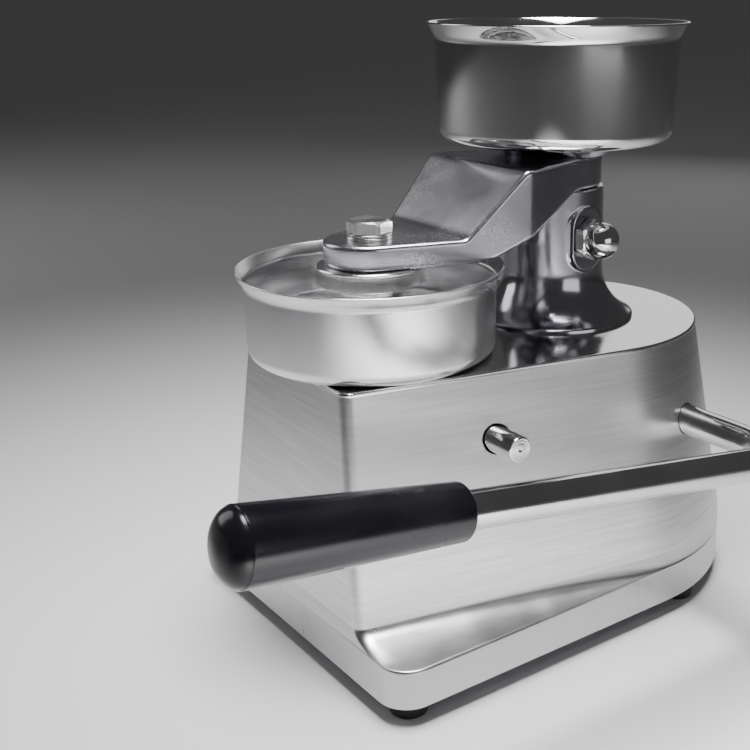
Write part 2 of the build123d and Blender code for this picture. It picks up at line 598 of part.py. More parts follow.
def plan_side(sign):
    """Edges down one side of the arm's plan, from the pad to the hub."""
    points = [PAD_END, NECK, SHOULDER, SHOULDER_MID, WAIST, HUB_SIDE]
    pad, neck, shoulder, middle, waist, hub = [(sign * x, y) for x, y in points]
    shoulder_arc = ThreePointArc(shoulder, middle, waist)
    return [Line(pad, neck), Line(neck, shoulder), shoulder_arc, Line(waist, hub)]


pad_arc = ThreePointArc((-PAD_END[0], PAD_END[1]), (0, MOLD_Y - PAD_R), PAD_END)
hub_arc = ThreePointArc(HUB_SIDE, (0, HUB_SIDE[1] + COLUMN_R), (-HUB_SIDE[0], HUB_SIDE[1]))
plan_edges = [pad_arc, hub_arc] + plan_side(1) + plan_side(-1)
arm_plan = Pos(0, 0, 200) * extrude(make_face(Wire(plan_edges)), 60)
arm = arm_side & arm_plan
arm -= rod(6.0 + LOOSE, 200, 230, 0, MOLD_Y)
arm -= rod(8.0 + LOOSE, 230, 260, 0, COLUMN_Y)
arm -= rod(30.0, 200, ARM_BOTTOM_Z, 0, COLUMN_Y)     # round seat over the column's head
save(arm, "arm")

# ---------------------------------------------------------------------------
# paper bowl on top
# ---------------------------------------------------------------------------
cone = Pos(0, COLUMN_Y, (ARM_TOP_Z + BOWL_FLOOR_Z) / 2) * Cone(29.3, 38.5, 8.0)
cone -= rod(4.0 + LOOSE, 250, 270, 0, COLUMN_Y)
save(cone, "bowl_seat")
bowl_mid = BOWL_FLOOR_Z + BOWL_SHEET / 2
bowl_line = [(4.1, bowl_mid), (66.4, bowl_mid), (68.9, 319.0), (73.4, 326.6)]
save(sheet_bowl(bowl_line, 7.5, BOWL_SHEET, COLUMN_Y), "top_bowl")
bowl_washer = rod(9.0, BOWL_FLOOR_Z + BOWL_SHEET, 264.6, 0, COLUMN_Y)
save(bowl_washer - rod(4.0 + LOOSE, 250, 270, 0, COLUMN_Y), "bowl_washer")
bowl_screw = rod(4.0, 234.0, 265.0, 0, COLUMN_Y) + rod(6.8, 264.6, 268.4, 0, COLUMN_Y)
bowl_screw = fillet(bowl_screw.edges().group_by(Axis.Z)[-1], 1.6)
bowl_screw -= block(-8, 8, COLUMN_Y - 0.7, COLUMN_Y + 0.7, 267.0, 270)
save(bowl_screw, "bowl_screw")

# ---------------------------------------------------------------------------
# press plate, hub and bolt
# ---------------------------------------------------------------------------
hub_points = [
    (6.0 + LOOSE, 177.5), (24.0, 177.5), (24.0, 181.0), (17.0, 184.0), (17.0, 193.0),
    (28.8, 197.0), (28.8, PAD_BOTTOM_Z - 1.2), (27.6, PAD_BOTTOM_Z),
    (6.0 + LOOSE, PAD_BOTTOM_Z),
]
save(turned(hub_points, MOLD_Y), "press_hub")
plate_points = [
    (0, PRESS_PLATE_Z), (62.0, PRESS_PLATE_Z), (63.6, PRESS_PLATE_Z + 1.6),
    (63.6, PRESS_PLATE_Z + 5.0), (62.6, 177.5), (6.0 + LOOSE, 177.5),
    (6.0 + LOOSE, PRESS_PLATE_Z + 1.5), (0, PRESS_PLATE_Z + 1.5),
]
save(turned(plate_points, MOLD_Y), "press_plate")
washer_top = PAD_TOP_Z + 1.6
ring_top = washer_top + 1.7
flat_washer = rod(12.2, PAD_TOP_Z, washer_top, 0, MOLD_Y)
save(flat_washer - rod(6.0 + LOOSE, 210, 230, 0, MOLD_Y), "flat_washer")
spring_washer = rod(12.2, washer_top, ring_top, 0, MOLD_Y)
spring_washer -= rod(6.0 + LOOSE, 210, 230, 0, MOLD_Y)
spring_washer -= Pos(0, MOLD_Y - 9.1, washer_top + 0.85) * Rot(0, 25, 0) * Box(1.2, 9, 8)
save(spring_washer, "spring_washer")
press_bolt = rod(6.0, PRESS_PLATE_Z + 1.8, ring_top + 1, 0, MOLD_Y)
press_bolt += Pos(0, MOLD_Y, ring_top) * Rot(0, 0, BOLT_TURN) * hexagon(21.5, 6.5)
save(press_bolt, "press_bolt")

# ---------------------------------------------------------------------------
# lever: cross shaft, bent bar, grip
# ---------------------------------------------------------------------------
JOIN_X = 60.0         # inside the housing, so the bent bar is one node outside
lever_shaft = cross_rod(BAR_R, -51.5, JOIN_X, LEVER_Y, LEVER_Z)
lever_shaft -= rod(2.5 + LOOSE, 80, 140, -14, LEVER_Y)
lever_groove = cross_rod(9.5, -50.2, -49.0, LEVER_Y, LEVER_Z)
lever_shaft -= lever_groove - cross_rod(7.6, -53, -47, LEVER_Y, LEVER_Z)
save(lever_shaft, "lever_shaft")
save(split_ring(-50.1, -49.1, 7.65, 11.5, LEVER_Y, LEVER_Z), "lever_ring")

corner = Vector(BAR_X, LEVER_Y, LEVER_Z)
tip = Vector(*BAR_TIP)
reach = (tip - corner).normalized()
bend_r = 30.0
bend_in = corner - Vector(1, 0, 0) * bend_r
bend_out = corner + reach * bend_r
bend_mid = corner + (reach - Vector(1, 0, 0)) * bend_r * (1 - sqrt(0.5))
bar_path = Wire([
    Line(Vector(JOIN_X, LEVER_Y, LEVER_Z), bend_in),
    ThreePointArc(bend_in, bend_mid, bend_out),
    Line(bend_out, tip - reach * 20),
])
bar_section = Plane(origin=(JOIN_X, LEVER_Y, LEVER_Z), x_dir=(0, 1, 0), z_dir=(1, 0, 0))
lever_bar = sweep(bar_section * Circle(BAR_R), path=bar_path)
save(lever_bar, "lever_bar")

grip_line = [
    Line((0, 0), (11.2, 0)),
    ThreePointArc((11.2, 0), (12.2, 0.4), (12.6, 1.4)),
    Line((12.6, 1.4), (15.7, 100.8)),
    Line((15.7, 100.8), (15.4, 101.4)),
    ThreePointArc((15.4, 101.4), (12.4, 105.2), (7.0, 107.6)),
    Line((7.0, 107.6), (0, GRIP_LENGTH)),
    Line((0, GRIP_LENGTH), (0, 0)),
]
grip = revolve(Plane.XZ * make_face(Wire(grip_line)), Axis.Z)
grip -= rod(BAR_R + LOOSE, -5, 85)
grip_base = tip - reach * (GRIP_LENGTH - GRIP_PAST_TIP)
grip_plane = Plane(origin=grip_base, x_dir=(1, 0, 0), z_dir=reach)
save(grip_plane * grip, "grip")
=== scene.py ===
"""Manual patty press: the looks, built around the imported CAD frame."""

from math import acos, atan2, cos, hypot, pi, radians, sin, sqrt, tan

import bmesh
import bpy
from mathutils import Matrix, Vector


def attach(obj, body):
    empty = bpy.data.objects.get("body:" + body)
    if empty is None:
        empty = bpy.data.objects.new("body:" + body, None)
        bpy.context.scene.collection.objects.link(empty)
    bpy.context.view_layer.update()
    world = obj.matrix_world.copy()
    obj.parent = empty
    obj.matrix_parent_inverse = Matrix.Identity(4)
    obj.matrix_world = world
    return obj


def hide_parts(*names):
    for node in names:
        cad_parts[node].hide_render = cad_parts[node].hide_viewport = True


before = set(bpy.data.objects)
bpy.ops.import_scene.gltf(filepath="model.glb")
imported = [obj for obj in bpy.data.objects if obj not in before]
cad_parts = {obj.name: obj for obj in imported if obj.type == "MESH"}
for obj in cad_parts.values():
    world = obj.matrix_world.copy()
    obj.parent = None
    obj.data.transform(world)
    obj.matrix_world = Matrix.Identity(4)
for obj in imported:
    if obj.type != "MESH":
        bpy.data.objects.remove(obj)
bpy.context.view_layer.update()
MM = 0.001

# ---------------------------------------------------------------------------
# sizes in millimetres, drawn about the middle of the base; object_from() moves them
# into the CAD frame, whose origin is under the middle of the whole machine's box
# ---------------------------------------------------------------------------
BOX_MIDDLE = (36.4, -56.2)
MOLD_Y = -88.0
COLUMN_Y = 40.0
LEVER_Y, LEVER_Z = 65.0, 110.0
ROCKER_Y, ROCKER_Z = -60.0, 123.0
SKIRT_BOTTOM, SKIRT_TOP = 10.0, 31.0
WALL_FOOT, PLATE_UNDER, PLATE_TOP = 40.0, 156.0, 158.0
BASE_CORNER, BASE_CORNER_R = (90.0, -129.5), 17.0
BASE_REAR_Y, BASE_REAR_R = 38.0, 107.0
WALL_CORNER_R = 7.0
LOW_CORNER, TOP_CORNER = (64.0, -139.0), (46.0, -131.0)
LOW_REAR_R, TOP_REAR_R = 105.3, 85.0
SHEET = 1.5
BAR_R = 8.5
BAR_X = 164.0
BAR_TIP = Vector((BAR_X, -252.0, 157.4))
BOLT_R, BOLT_BORE = 6.0, 6.1              # press bolt and the holes it goes through
SCREW_BORE = 4.1                          # paper bowl and its seat
PRESS_HUB_FOOT, PRESS_HUB_TOP = 177.5, 206.9
COLUMN_EDGE, COLUMN_TOP = 234.9, 235.7    # column's upper edge is broken between these
PAD_UNDER, PAD_TOP = 207.0, 220.4         # arm where it lies over the mould
ARM_UNDER, ARM_TOP = 236.0, 254.0         # arm where it lies over the column


# ---------------------------------------------------------------------------
# mesh helpers
# ---------------------------------------------------------------------------
def object_from(name, verts, faces, sharp=32.0):
    """New object from millimetre points, welded, facing outwards, smooth but for its edges."""
    mesh = bpy.data.meshes.new(name)
    dx, dy = BOX_MIDDLE
    mesh.from_pydata([((x - dx) * MM, (y - dy) * MM, z * MM) for x, y, z in verts], [], faces)
    bm = bmesh.new()
    bm.from_mesh(mesh)
    bmesh.ops.remove_doubles(bm, verts=bm.verts, dist=2e-6)
    bmesh.ops.dissolve_degenerate(bm, edges=bm.edges, dist=1e-6)
    bmesh.ops.recalc_face_normals(bm, faces=bm.faces)
    bm.to_mesh(mesh)
    bm.free()
    soften(mesh, sharp)
    obj = bpy.data.objects.new(name, mesh)
    bpy.context.scene.collection.objects.link(obj)
    return obj


def soften(mesh, sharp):
    """Smooth shading with hard edges above an angle."""
    mesh.shade_smooth()
    mesh.set_sharp_from_angle(angle=radians(sharp))


def place(obj, body, slot, material, *nodes):
    """Hand a finished piece to its body and let it stand for its CAD nodes."""
    obj.data.materials.clear()
    obj.data.materials.append(material)
    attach(obj, body)
    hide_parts(*nodes)


def carve(obj, cutters, sharp):
    """Subtract closed cutter objects and apply the result."""
    for cutter in cutters:
        mod = obj.modifiers.new("cut", "BOOLEAN")
        mod.operation = "DIFFERENCE"
        mod.solver = "EXACT"
        mod.object = cutter
    depsgraph = bpy.context.evaluated_depsgraph_get()
    mesh = bpy.data.meshes.new_from_object(obj.evaluated_get(depsgraph))
    obj.modifiers.clear()
    old = obj.data
    obj.data = mesh
    bpy.data.meshes.remove(old)
    for cutter in cutters:
        bpy.data.objects.remove(cutter)
    soften(obj.data, sharp)


def rounded(points, closed=False, steps=6):
    """Polyline through (a, b) points; a third value rounds that corner."""
    count = len(points)
    out = []
    for i, point in enumerate(points):
        a, b = point[0], point[1]
        radius = point[2] if len(point) > 2 else 0.0
        inside = closed or 0 < i < count - 1
        if radius <= 0 or not inside:
            out.append((a, b))
            continue
        before, after = points[i - 1], points[(i + 1) % count]
        ux, uy = before[0] - a, before[1] - b
        vx, vy = after[0] - a, after[1] - b
        lu, lv = hypot(ux, uy), hypot(vx, vy)
        ux, uy, vx, vy = ux / lu, uy / lu, vx / lv, vy / lv
        half = acos(max(-1.0, min(1.0, ux * vx + uy * vy))) / 2
        reach = min(radius / tan(half), 0.49 * lu, 0.49 * lv)
        radius = reach * tan(half)
        bx, by = ux + vx, uy + vy
        lb = hypot(bx, by)
        cx = a + bx / lb * radius / sin(half)
        cy = b + by / lb * radius / sin(half)
        a0 = atan2(b + uy * reach - cy, a + ux * reach - cx)
        a1 = atan2(b + vy * reach - cy, a + vx * reach - cx)
        turn = (a1 - a0 + pi) % (2 * pi) - pi
        for k in range(steps + 1):
            angle = a0 + turn * k / steps
            out.append((cx + radius * cos(angle), cy + radius * sin(angle)))
    return out


def arc_through(a, b, c, steps):
    """Points from a to c on the circle through a, b and c."""
    (ax, ay), (bx, by), (cx, cy) = a, b, c
    d = 2 * (ax * (by - cy) + bx * (cy - ay) + cx * (ay - by))
    aa, bb, cc = ax * ax + ay * ay, bx * bx + by * by, cx * cx + cy * cy
    ux = (aa * (by - cy) + bb * (cy - ay) + cc * (ay - by)) / d
    uy = (aa * (cx - bx) + bb * (ax - cx) + cc * (bx - ax)) / d
    radius = hypot(ax - ux, ay - uy)
    start = atan2(ay - uy, ax - ux)
    turn = (atan2(cy - uy, cx - ux) - start + pi) % (2 * pi) - pi
    angles = [start + turn * k / steps for k in range(steps + 1)]
    return [(ux + radius * cos(t), uy + radius * sin(t)) for t in angles]


def thicken(line, thickness):
    """Closed outline of even thickness about a line, with a rounded far end."""
    count = len(line)
    normals = []
    for i in range(count):
        ax, ay = line[max(i - 1, 0)]
        bx, by = line[min(i + 1, count - 1)]
        length = hypot(bx - ax, by - ay)
        normals.append((-(by - ay) / length, (bx - ax) / length))
    half = thickness / 2
    left = [(p[0] + n[0] * half, p[1] + n[1] * half) for p, n in zip(line, normals)]
    right = [(p[0] - n[0] * half, p[1] - n[1] * half) for p, n in zip(line, normals)]
    (ex, ey), (nx, ny) = line[-1], normals[-1]
    start = atan2(-ny, -nx)
    cap = [(ex + half * cos(start + pi * k / 6), ey + half * sin(start + pi * k / 6))
           for k in range(1, 6)]
    return right + cap + left[::-1]


def turned(outline, matrix, segments=96):
    """Points and faces of a closed (radius, height) outline turned about its own axis."""
    count = len(outline)
    verts, faces = [], []
    for k in range(segments):
        angle = 2 * pi * k / segments
        for r, z in outline:
            verts.append(matrix @ Vector((r * cos(angle), r * sin(angle), z)))
    for k in range(segments):
        here, there = k * count, (k + 1) % segments * count
        for i in range(count):
            j = (i + 1) % count
            if outline[i][0] < 1e-6 and outline[j][0] < 1e-6:
                continue
            faces.append((here + i, there + i, there + j, here + j))
    return verts, faces


def upright(x, y, z=0.0):
    return Matrix.Translation((x, y, z))


def along_x(x, y, z):
    """Frame whose own height runs along +X."""
    return Matrix.Translation((x, y, z)) @ Matrix.Rotation(pi / 2, 4, "Y")


def lathe(name, outline, matrix, segments=96, sharp=32.0):
    verts, faces = turned(outline, matrix, segments)
    return object_from(name, verts, faces, sharp)


def lofted(rings, closed_loop=False, cap_start=False, cap_end=False):
    """Skin through rings that all have the same number of points."""
    size = len(rings[0])
    verts = [p for ring in rings for p in ring]
    faces = []
    spans = len(rings) if closed_loop else len(rings) - 1
    for r in range(spans):
        here, there = r * size, (r + 1) % len(rings) * size
        for i in range(size):
            j = (i + 1) % size
            faces.append((here + i, here + j, there + j, there + i))
    if cap_start:
        faces.append(tuple(range(size))[::-1])
    if cap_end:
        last = (len(rings) - 1) * size
        faces.append(tuple(range(last, last + size)))
    return verts, faces


def plan(corner, corner_r, rear_y, rear_r, z, corner_steps=10, side_steps=16, rear_steps=72):
    """Closed ring at height z: front corner arcs and one round rear end joined by tangents."""
    cx, cy = corner
    dx, dy = cx, cy - rear_y
    side = atan2(dy, dx) + acos((rear_r - corner_r) / hypot(dx, dy))
    right = []
    for k in range(corner_steps + 1):
        angle = -pi / 2 + (side + pi / 2) * k / corner_steps
        right.append((cx + corner_r * cos(angle), cy + corner_r * sin(angle)))
    x0, y0 = right[-1]
    x1, y1 = rear_r * cos(side), rear_y + rear_r * sin(side)
    for k in range(1, side_steps):
        t = k / side_steps
        right.append((x0 + t * (x1 - x0), y0 + t * (y1 - y0)))
    for k in range(rear_steps // 2):
        angle = side + (pi / 2 - side) * k / (rear_steps // 2)
        right.append((rear_r * cos(angle), rear_y + rear_r * sin(angle)))
    ring = right + [(0.0, rear_y + rear_r)] + [(-x, y) for x, y in reversed(right)]
    ring.append((0.0, cy - corner_r))
    return [(x, y, z) for x, y in ring]


def mix(a, b, t):
    return a + (b - a) * t


def wall_ring(z, inset=0.0, **steps):
    """Housing outline at height z, moved inwards by inset."""
    t = (z - WALL_FOOT) / (PLATE_TOP - WALL_FOOT)
    corner = (mix(LOW_CORNER[0], TOP_CORNER[0], t), mix(LOW_CORNER[1], TOP_CORNER[1], t))
    rear_r = mix(LOW_REAR_R, TOP_REAR_R, t)
    return plan(corner, WALL_CORNER_R - inset, COLUMN_Y, rear_r - inset, z, **steps)


def pan_ring(s, z, inset=0.0):
    """Outline a share s of the way from the housing wall to the edge of the base."""
    corner = (mix(LOW_CORNER[0], BASE_CORNER[0], s), mix(LOW_CORNER[1], BASE_CORNER[1], s))
    corner_r = mix(WALL_CORNER_R, BASE_CORNER_R, s)
    rear_y = mix(COLUMN_Y, BASE_REAR_Y, s)
    rear_r = mix(LOW_REAR_R, BASE_REAR_R, s)
    return plan(corner, corner_r - inset, rear_y, rear_r - inset, z)


def cylinder_cutter(matrix, radius, z0, z1):
    outline = [(0.0, z0), (radius, z0), (radius, z1), (0.0, z1)]
    return lathe("cutter", outline, matrix)


# ---------------------------------------------------------------------------
# materials
# ---------------------------------------------------------------------------
class Look:
    """A material under construction: its shader and a few node shortcuts."""

    def __init__(self, name, color, metallic, roughness, **sockets):
        self.material = bpy.data.materials.new(name)
        self.material.use_nodes = True
        self.material.diffuse_color = (*color, 1)
        self.nodes = self.material.node_tree.nodes
        self.links = self.material.node_tree.links
        self.shader = self.nodes["Principled BSDF"]
        self.shader.inputs["Base Color"].default_value = (*color, 1)
        self.shader.inputs["Metallic"].default_value = metallic
        self.shader.inputs["Roughness"].default_value = roughness
        for socket, value in sockets.items():
            self.shader.inputs[socket.replace("_", " ")].default_value = value
        self.place = self.nodes.new("ShaderNodeTexCoord").outputs["Object"]

    def stretch(self, x, y, z, turn=(0, 0, 0)):
        node = self.nodes.new("ShaderNodeMapping")
        node.inputs["Scale"].default_value = (x, y, z)
        node.inputs["Rotation"].default_value = turn
        self.links.new(self.place, node.inputs["Vector"])
        return node.outputs["Vector"]

    def noise(self, vector, scale, detail=3.0, roughness=0.5, distortion=0.0):
        node = self.nodes.new("ShaderNodeTexNoise")
        node.inputs["Scale"].default_value = scale
        node.inputs["Detail"].default_value = detail
        node.inputs["Roughness"].default_value = roughness
        node.inputs["Distortion"].default_value = distortion
        self.links.new(vector, node.inputs["Vector"])
        return node.outputs["Fac"]

    def remap(self, value, low, high, out_low, out_high):
        node = self.nodes.new("ShaderNodeMapRange")
        node.inputs["From Min"].default_value = low
        node.inputs["From Max"].default_value = high
        node.inputs["To Min"].default_value = out_low
        node.inputs["To Max"].default_value = out_high
        self.links.new(value, node.inputs["Value"])
        return node.outputs["Result"]

    def combine(self, operation, a, b):
        node = self.nodes.new("ShaderNodeMath")
        node.operation = operation
        for socket, value in zip(node.inputs, (a, b)):
            if isinstance(value, (int, float)):
                socket.default_value = value
            else:
                self.links.new(value, socket)
        return node.outputs["Value"]

    def tint(self, value, dark, light):
        node = self.nodes.new("ShaderNodeMix")
        node.data_type = "RGBA"
        node.inputs["A"].default_value = (*dark, 1)
        node.inputs["B"].default_value = (*light, 1)
        self.links.new(value, node.inputs["Factor"])
        self.links.new(node.outputs["Result"], self.shader.inputs["Base Color"])

    def rough(self, value):
        self.links.new(value, self.shader.inputs["Roughness"])

    def bump(self, height, strength, distance=0.0002):
        node = self.nodes.new("ShaderNodeBump")
        node.inputs["Strength"].default_value = strength
        node.inputs["Distance"].default_value = distance
        self.links.new(height, node.inputs["Height"])
        self.links.new(node.outputs["Normal"], self.shader.inputs["Normal"])

    def spin(self, axis="Z"):
        """Brushing runs round an axis."""
        node = self.nodes.new("ShaderNodeTangent")
        node.direction_type = "RADIAL"
        node.axis = axis
        self.links.new(node.outputs["Tangent"], self.shader.inputs["Tangent"])


def brushed_steel():
    """Sheet brushed level: long fine streaks with a few broader, darker ones."""
    look = Look("brushed_sheet", (0.66, 0.66, 0.67), 1.0, 0.3, Anisotropic=0.55)
    fine = look.noise(look.stretch(14, 14, 2600), 1.0, 2.0)
    medium = look.noise(look.stretch(22, 22, 620), 1.0, 3.0, 0.6)
    broad = look.noise(look.stretch(9, 9, 190), 1.0, 2.0)
    streaks = look.combine("ADD", look.combine("MULTIPLY", fine, 0.3),
                           look.combine("MULTIPLY", medium, 0.45))
    streaks = look.combine("ADD", streaks, look.combine("MULTIPLY", broad, 0.25))
    look.tint(look.remap(streaks, 0.38, 0.62, 0.0, 1.0), (0.5, 0.5, 0.505), (0.64, 0.64, 0.645))
    look.rough(look.remap(streaks, 0.35, 0.65, 0.35, 0.28))
    look.bump(streaks, 0.05, 0.00012)
    look.spin("Z")
    return look.material


def polished_steel(name, color, low, high, anisotropic=0.0, scratches=0.03):
    """Buffed steel: soft cloudy gloss changes, hairline marks and wiped smears."""
    look = Look(name, color, 1.0, low, Anisotropic=anisotropic)
    cloud = look.noise(look.stretch(1, 1, 1), 38.0, 3.0, 0.55)
    hair = look.noise(look.stretch(160, 1900, 700, (0.3, 0.5, 0.9)), 1.0, 2.0)
    smear = look.noise(look.stretch(30, 30, 9, (0.4, 0.1, 0.0)), 1.0, 2.0, 0.5, 1.2)
    blend = look.combine("ADD", look.combine("MULTIPLY", cloud, 0.6),
                         look.combine("MULTIPLY", smear, 0.4))
    look.rough(look.remap(blend, 0.38, 0.64, low, high))
    dark = tuple(c * 0.9 for c in color)
    look.tint(look.remap(blend, 0.35, 0.65, 0.0, 1.0), dark, color)
    look.bump(hair, scratches, 0.0001)
    if anisotropic:
        look.spin("Z")
    return look.material


def cast_alloy():
    """Hand-buffed casting: violet grey, soft waves in shape, specks and hairlines in gloss."""
    look = Look("cast_alloy_buffed", (0.47, 0.46, 0.49), 1.0, 0.27)
    wave = look.noise(look.stretch(1, 1, 1), 26.0, 2.0)
    grain = look.noise(look.stretch(1, 1, 1), 900.0, 2.0, 0.6)
    hair = look.noise(look.stretch(2100, 240, 900, (0.2, 0.4, 0.35)), 1.0, 2.0)
    blend = look.combine("ADD", look.combine("MULTIPLY", wave, 0.7),
                         look.combine("MULTIPLY", grain, 0.3))
    look.tint(look.remap(blend, 0.38, 0.62, 0.0, 1.0), (0.425, 0.415, 0.45), (0.51, 0.5, 0.53))
    gloss = look.combine("ADD", look.combine("MULTIPLY", blend, 0.8),
                         look.combine("MULTIPLY", hair, 0.2))
    look.rough(look.remap(gloss, 0.36, 0.64, 0.2, 0.29))
    look.bump(wave, 0.5, 0.0006)
    return look.material


def black_grip():
    look = Look("black_grip_moulded", (0.006, 0.006, 0.008), 0.0, 0.2,
                Specular_IOR_Level=0.32, Coat_Weight=0.1, Coat_Roughness=0.12)
    orange_peel = look.noise(look.stretch(1, 1, 1), 240.0, 2.0)
    wear = look.noise(look.stretch(40, 14, 40), 1.0, 3.0, 0.6)
    look.rough(look.remap(wear, 0.35, 0.65, 0.17, 0.3))
    look.tint(look.remap(wear, 0.4, 0.7, 0.0, 1.0), (0.004, 0.004, 0.006), (0.009, 0.009, 0.011))
    look.bump(orange_peel, 0.05, 0.0001)
    return look.material


def foot_rubber():
    look = Look("foot_rubber", (0.018, 0.018, 0.019), 0.0, 0.7, Specular_IOR_Level=0.35)
    grain = look.noise(look.stretch(1, 1, 1), 900.0, 3.0)
    dust = look.noise(look.stretch(1, 1, 1), 60.0, 3.0)
    look.tint(look.remap(dust, 0.4, 0.7, 0.0, 1.0), (0.014, 0.014, 0.015), (0.034, 0.033, 0.033))
    look.rough(look.remap(dust, 0.3, 0.7, 0.62, 0.85))
    look.bump(grain, 0.3, 0.0001)
    return look.material


def turned_metal(name, color, low, high, axis, scale):
    """Lathe or mill finish: close marks across one axis with an uneven tone."""
    look = Look(name, color, 1.0, (low + high) / 2, Anisotropic=0.35)
    stretch = {"X": (scale, 20, 20), "Y": (20, scale, 20), "Z": (20, 20, scale)}[axis]
    marks = look.noise(look.stretch(*stretch), 1.0, 2.0)
    tone = look.noise(look.stretch(1, 1, 1), 70.0, 3.0, 0.6)
    blend = look.combine("ADD", look.combine("MULTIPLY", marks, 0.6),
                         look.combine("MULTIPLY", tone, 0.4))
    look.tint(look.remap(blend, 0.36, 0.64, 0.0, 1.0), tuple(c * 0.78 for c in color), color)
    look.rough(look.remap(blend, 0.36, 0.64, high, low))
    look.bump(marks, 0.12, 0.0001)
    look.spin(axis)
    return look.material


BRUSHED = brushed_steel()
POLISHED = polished_steel("polished_sheet", (0.76, 0.76, 0.77), 0.11, 0.18, 0.0, 0.02)
PRESSED = polished_steel("pressed_sheet", (0.52, 0.52, 0.53), 0.27, 0.35, 0.0, 0.03)
MIRROR = polished_steel("mirror_bowl", (0.72, 0.72, 0.725), 0.045, 0.1, 0.35, 0.015)
SATIN = polished_steel("satin_mould", (0.72, 0.72, 0.73), 0.2, 0.27, 0.75, 0.03)
CHROME = polished_steel("plated_bar", (0.68, 0.675, 0.67), 0.07, 0.15, 0.0, 0.03)
BRIGHT = polished_steel("bright_cast", (0.44, 0.43, 0.46), 0.12, 0.21, 0.0, 0.03)
ALLOY = cast_alloy()
PLATED = polished_steel("plated_bolt", (0.8, 0.79, 0.77), 0.2, 0.3, 0.0, 0.05)
HUB = polished_steel("turned_hub", (0.84, 0.84, 0.84), 0.13, 0.2, 0.4, 0.03)
GRIP = black_grip()
RUBBER = foot_rubber()
MACHINED = turned_metal("machined_steel_turned", (0.5, 0.5, 0.5), 0.25, 0.42, "X", 900)
SHAFT = turned_metal("ground_shaft", (0.6, 0.6, 0.61), 0.16, 0.28, "Z", 1200)
ZINC = turned_metal("zinc_plated", (0.6, 0.61, 0.64), 0.28, 0.45, "Z", 400)
BRONZE = turned_metal("sintered_bronze", (0.55, 0.36, 0.17), 0.3, 0.5, "Z", 500)

# ---------------------------------------------------------------------------
# base pan
# ---------------------------------------------------------------------------
EDGE = 2.0            # rounding of the flange's outer edge
EDGE_SHARE = 0.05     # part of the flange's width that it takes up
EDGE_STEPS, FLANGE_STEPS = 8, 20
RISE = WALL_FOOT - SKIRT_TOP
pan_levels = [(1.0, SKIRT_BOTTOM), (1.0, SKIRT_TOP - EDGE - 0.5)]
for k in range(EDGE_STEPS + 1):
    angle = pi / 2 * k / EDGE_STEPS
    pan_levels.append((1.0 - EDGE_SHARE * (1 - cos(angle)),
                       SKIRT_TOP - EDGE + EDGE * sin(angle)))
CURVE = 0.62          # how sharply the flange sweeps up into the wall
for k in range(1, FLANGE_STEPS + 1):
    u = (1 - k / FLANGE_STEPS) ** 2
    pan_levels.append(((1 - EDGE_SHARE) * u, SKIRT_TOP + RISE * (1 - u ** CURVE) ** (1 / CURVE)))
outer_rings = [pan_ring(s, z) for s, z in pan_levels]
PAN_INSET = 1.8       # inner face, a little over the sheet because the walls lean
inner_rings = [pan_ring(s, z - (SHEET if z > SKIRT_BOTTOM else 0), PAN_INSET)
               for s, z in reversed(pan_levels)]
verts, faces = lofted(outer_rings + inner_rings, closed_loop=True)
pan = object_from("base_pan_pressed", verts, faces, 50.0)
place(pan, "frame", "polished_steel", PRESSED, "base_pan")

# ---------------------------------------------------------------------------
# housing wall with its two shaft holes, and the top plate
# ---------------------------------------------------------------------------
WALL_LEVELS = 30
heights = [mix(WALL_FOOT, PLATE_UNDER, k / WALL_LEVELS) for k in range(WALL_LEVELS + 1)]
outer_rings = [wall_ring(z, side_steps=40, rear_steps=96) for z in heights]
inner_rings = [wall_ring(z, SHEET, side_steps=40, rear_steps=96) for z in reversed(heights)]
verts, faces = lofted(outer_rings + inner_rings, closed_loop=True)
housing = object_from("housing_wall", verts, faces, 40.0)
BAR_HOLE_R, ROCKER_HOLE_R = BAR_R + 0.4, 8.2
carve(housing, [
    cylinder_cutter(along_x(60, LEVER_Y, LEVER_Z), BAR_HOLE_R, 0, 60),
    cylinder_cutter(along_x(55, ROCKER_Y, ROCKER_Z), ROCKER_HOLE_R, 0, 45),
], 40.0)
place(housing, "frame", "brushed_steel", BRUSHED, "housing")

EDGE_R = 1.2          # rounding of the top plate's edge
rings = [wall_ring(PLATE_UNDER)]
for k in range(7):
    angle = pi / 2 * k / 6
    z = PLATE_TOP - EDGE_R + EDGE_R * sin(angle)
    rings.append([(x, y, z) for x, y, _ in wall_ring(PLATE_UNDER, EDGE_R * (1 - cos(angle)))])
rings.append([(x, y, PLATE_TOP) for x, y, _ in wall_ring(PLATE_UNDER, EDGE_R + 1.0)])
verts, faces = lofted(rings, cap_start=True, cap_end=True)
deck = object_from("top_deck", verts, faces, 40.0)
DECK_HOLES = ((COLUMN_Y, 11.0), (MOLD_Y, 9.0))
carve(deck, [cylinder_cutter(upright(0, y), radius, PLATE_UNDER - 6, PLATE_TOP + 7)
             for y, radius in DECK_HOLES], 40.0)
place(deck, "frame", "polished_steel", POLISHED, "top_plate")

# ---------------------------------------------------------------------------
# mould, paper bowl and their turned neighbours
# ---------------------------------------------------------------------------
BOWL_SHEET = 1.2      # both turned bowls; their outlines below are the middle of the sheet
MOLD_FLOOR, BOWL_FLOOR = 158.6, 262.6
mold_line = rounded([(9.1, MOLD_FLOOR), (65.7, MOLD_FLOOR, 7.0), (66.2, 199.0, 7.0), (70.6, 205.2)],
                    steps=12)
mold = lathe("mould_bowl", thicken(mold_line, BOWL_SHEET), upright(0, MOLD_Y), 192, 60.0)
place(mold, "frame", "brushed_steel", SATIN, "mold_bowl")

